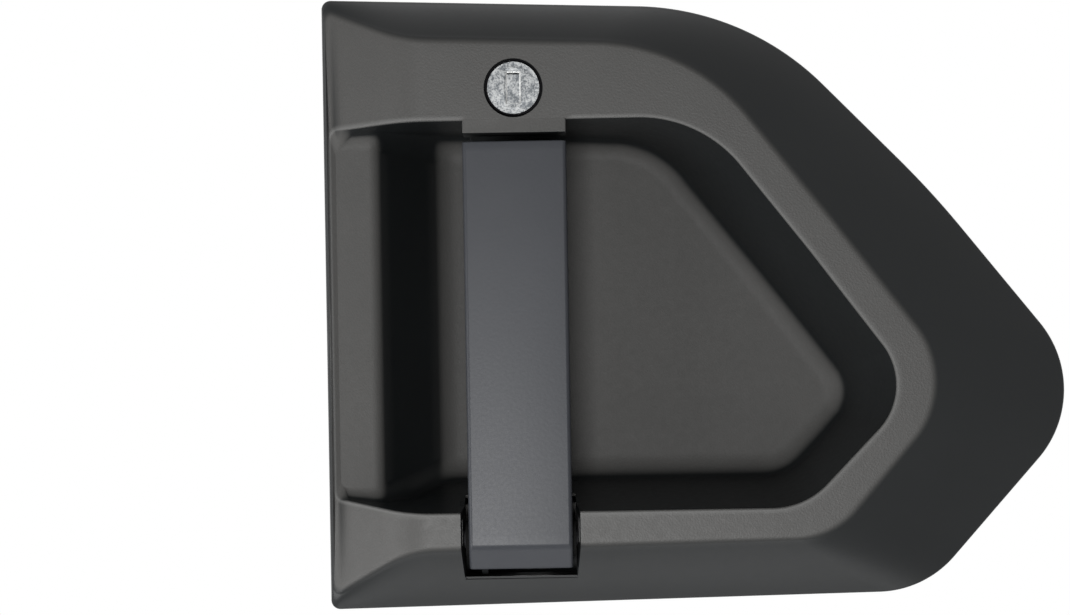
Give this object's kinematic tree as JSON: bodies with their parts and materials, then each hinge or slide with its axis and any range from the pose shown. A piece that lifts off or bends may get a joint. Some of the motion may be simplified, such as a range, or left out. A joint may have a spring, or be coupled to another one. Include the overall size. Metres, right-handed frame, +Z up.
{
  "type": "exterior door handle",
  "caption": "Recessed exterior pull handle for a cab door: moulded housing with finger bowl, sprung grab bar, release lever and key lock.",
  "frame": {"origin": "on the door skin, on the grip's centreline, at half the height of the housing's straight edge", "axes": "+X towards the nose, +Y into the door, +Z up"},
  "size_m": [0.2447, 0.0696, 0.2023],
  "materials": {
    "black_moulding": "fine grain",
    "satin_grey": "satin",
    "rubber": "matt",
    "black_metal": "black coat",
    "lock_chrome": "brushed chrome",
    "brass": "stamped",
    "nylon": "natural",
    "black_nylon": "moulded",
    "zinc_steel": "zinc plated",
    "dark_steel": "phosphated",
    "spring_steel": "drawn wire"
  },
  "bodies": {
    "housing_body": {"housing": "black_moulding", "perimeter_gasket": "rubber", "mounting_studs": "zinc_steel", "bump_stops": "rubber", "pivot_pin": "zinc_steel", "pivot_clips": "dark_steel", "return_spring": "spring_steel", "carrier_plate": "zinc_steel", "carrier_screws": "dark_steel", "lever_pin": "zinc_steel", "lever_clip": "dark_steel", "lever_spring": "spring_steel", "lock_barrel": "black_metal", "lock_seal": "rubber", "lock_clip": "dark_steel"},
    "grip": {"grip_front": "satin_grey", "grip_back": "black_moulding", "grip_screws": "zinc_steel", "pivot_bushes": "black_nylon", "release_crank": "black_metal", "crank_screws": "dark_steel"},
    "lever": {"release_lever": "zinc_steel", "lever_bush": "nylon", "rod_clip": "nylon"},
    "lock_rotor": {"lock_plug": "lock_chrome", "wafer_tumblers": "brass", "shutter_pin": "zinc_steel", "lock_cam": "zinc_steel", "cam_clip": "dark_steel"},
    "shutter": {"dust_shutter": "lock_chrome"}
  },
  "joints": [
    {"name": "handle_swing", "type": "hinge", "parent": "housing_body", "child": "grip", "pos_m": [0, -0.011, -0.07784], "axis": [1, 0, 0], "range_deg": [0, 16], "stiffness_Nm_per_rad": 2, "springref_deg": -20.05, "deforming": ["return_spring"]},
    {"name": "release_turn", "type": "hinge", "parent": "housing_body", "child": "lever", "pos_m": [0.032, 0.04065, -0.05984], "axis": [0, 1, 0], "range_deg": [0, 30], "stiffness_Nm_per_rad": 0.05, "springref_deg": -22.92, "deforming": ["lever_spring"]},
    {"name": "lock_turn", "type": "hinge", "parent": "housing_body", "child": "lock_rotor", "pos_m": [0, 0, 0.06987], "axis": [0, 1, 0], "range_deg": [-70, 70]},
    {"name": "shutter_tip", "type": "hinge", "parent": "lock_rotor", "child": "shutter", "pos_m": [0, -0.01955, 0.07407], "axis": [1, 0, 0], "range_deg": [0, 75], "stiffness_Nm_per_rad": 0.001, "springref_deg": -28.65}
  ],
  "couplings": [
    {"joint": "release_turn", "follows": "handle_swing", "ratio": 1.85}
  ]
}
